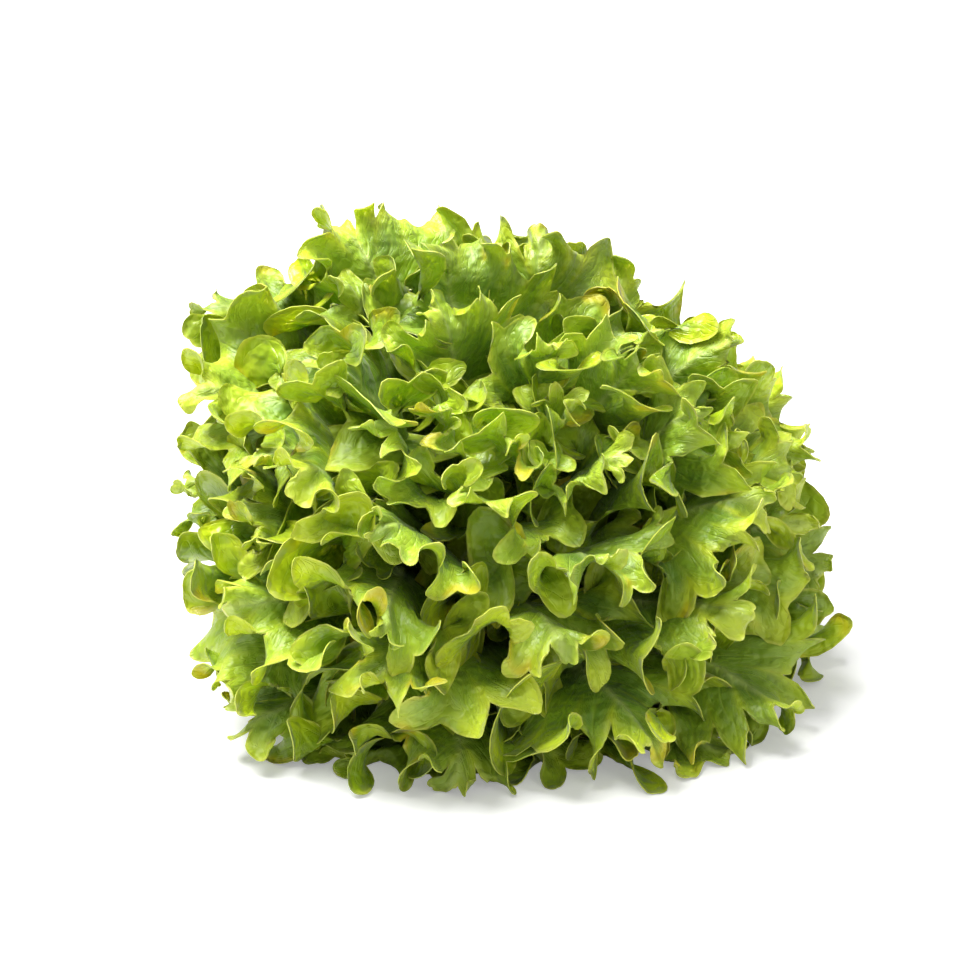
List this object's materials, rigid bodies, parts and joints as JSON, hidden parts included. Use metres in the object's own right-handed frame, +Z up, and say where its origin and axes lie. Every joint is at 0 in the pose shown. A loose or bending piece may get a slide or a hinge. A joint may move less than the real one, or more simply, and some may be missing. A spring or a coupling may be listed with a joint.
{
  "type": "oak leaf lettuce",
  "caption": "Head of green oak leaf lettuce lying on its side: loose, lobed and ruffled leaves in a rosette round a short cut stem.",
  "frame": {"origin": "middle of the head's box, on the surface that it lies on", "axes": "+Z up; the heart of the rosette faces -Y and up, the cut stem faces +Y and down; +X runs to the right of someone who looks at the heart"},
  "size_m": [0.2552, 0.2108, 0.1794],
  "materials": {
    "leaf_outer": "satin waxy leaf, mid green with lime edges",
    "leaf_middle": "satin waxy leaf, fresh green with yellow-lime edges",
    "leaf_heart": "satin waxy leaf, light green",
    "stem": "moist pale green-white stem with a browned cut"
  },
  "bodies": {
    "root": {"stem": "stem", "leaf_01": "leaf_outer", "leaf_02": "leaf_outer", "leaf_03": "leaf_outer", "leaf_04": "leaf_outer", "leaf_05": "leaf_outer", "leaf_06": "leaf_outer", "leaf_07": "leaf_outer", "leaf_08": "leaf_outer", "leaf_09": "leaf_outer", "leaf_10": "leaf_outer", "leaf_11": "leaf_outer", "leaf_12": "leaf_outer", "leaf_13": "leaf_outer", "leaf_14": "leaf_outer", "leaf_15": "leaf_outer", "leaf_16": "leaf_outer", "leaf_17": "leaf_outer", "leaf_18": "leaf_outer", "leaf_19": "leaf_middle", "leaf_20": "leaf_middle", "leaf_21": "leaf_middle", "leaf_22": "leaf_middle", "leaf_23": "leaf_middle", "leaf_24": "leaf_middle", "leaf_25": "leaf_middle", "leaf_26": "leaf_middle", "leaf_27": "leaf_middle", "leaf_28": "leaf_middle", "leaf_29": "leaf_middle", "leaf_30": "leaf_middle", "leaf_31": "leaf_middle", "leaf_32": "leaf_middle", "leaf_33": "leaf_middle", "leaf_34": "leaf_middle", "leaf_35": "leaf_middle", "leaf_36": "leaf_middle", "leaf_37": "leaf_middle", "leaf_38": "leaf_middle", "leaf_39": "leaf_heart", "leaf_40": "leaf_heart", "leaf_41": "leaf_heart", "leaf_42": "leaf_heart", "leaf_43": "leaf_heart", "leaf_44": "leaf_heart", "leaf_45": "leaf_heart", "leaf_46": "leaf_heart", "leaf_47": "leaf_heart", "leaf_48": "leaf_heart", "leaf_49": "leaf_heart", "leaf_50": "leaf_heart", "leaf_51": "leaf_heart", "leaf_52": "leaf_heart", "leaf_53": "leaf_heart", "leaf_54": "leaf_heart"}
  },
  "joints": []
}
